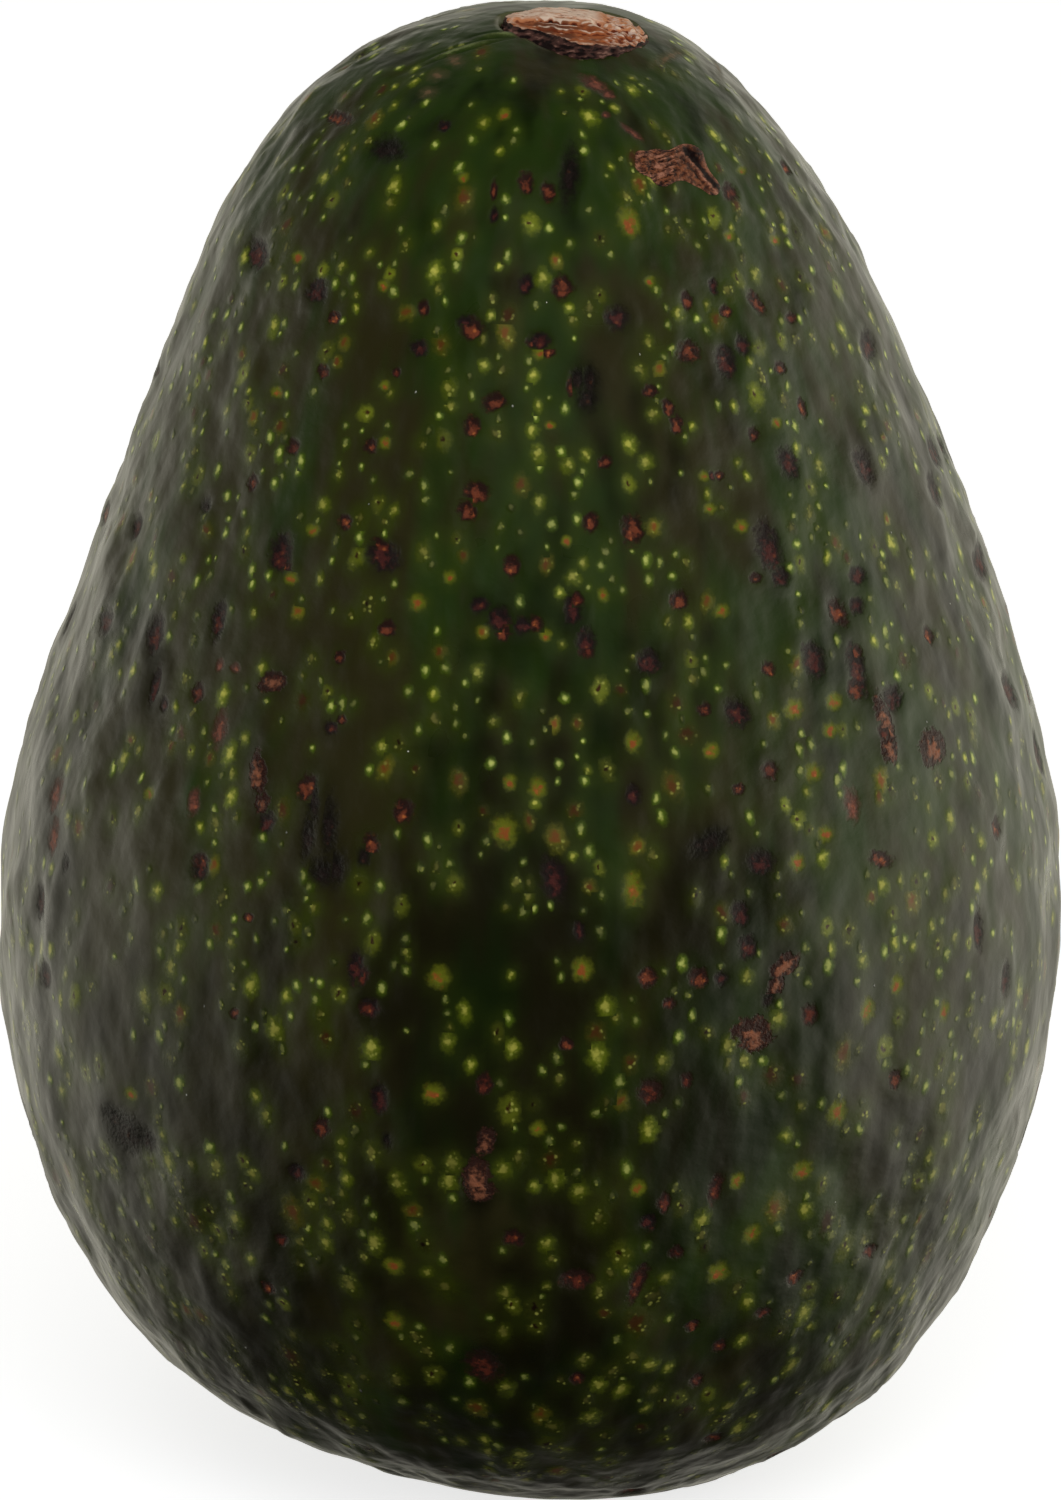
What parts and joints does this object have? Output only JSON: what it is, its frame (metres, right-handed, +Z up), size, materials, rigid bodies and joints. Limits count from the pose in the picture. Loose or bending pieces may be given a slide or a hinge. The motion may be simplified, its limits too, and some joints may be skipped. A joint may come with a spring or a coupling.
{
  "type": "avocado",
  "caption": "Whole ripe avocado, pear-shaped, with dark green pebbled skin and a dried cork stem button, standing upright on its blunt end.",
  "frame": {"origin": "on the surface that the fruit stands on, below the middle of its outline", "axes": "+Z up along the fruit to its stem, +X to the right of the front view, where the stem leans, and -Y to the front"},
  "size_m": [0.0701, 0.0682, 0.0991],
  "materials": {
    "skin": "waxy dark green fruit skin with low pebbles, pale dots and rust brown spots, faint broad sheen",
    "cork": "dry torn cork, pale tan on top and purple brown round its side, no gloss"
  },
  "bodies": {
    "root": {"fruit": "skin", "stem_button": "cork"}
  },
  "joints": []
}
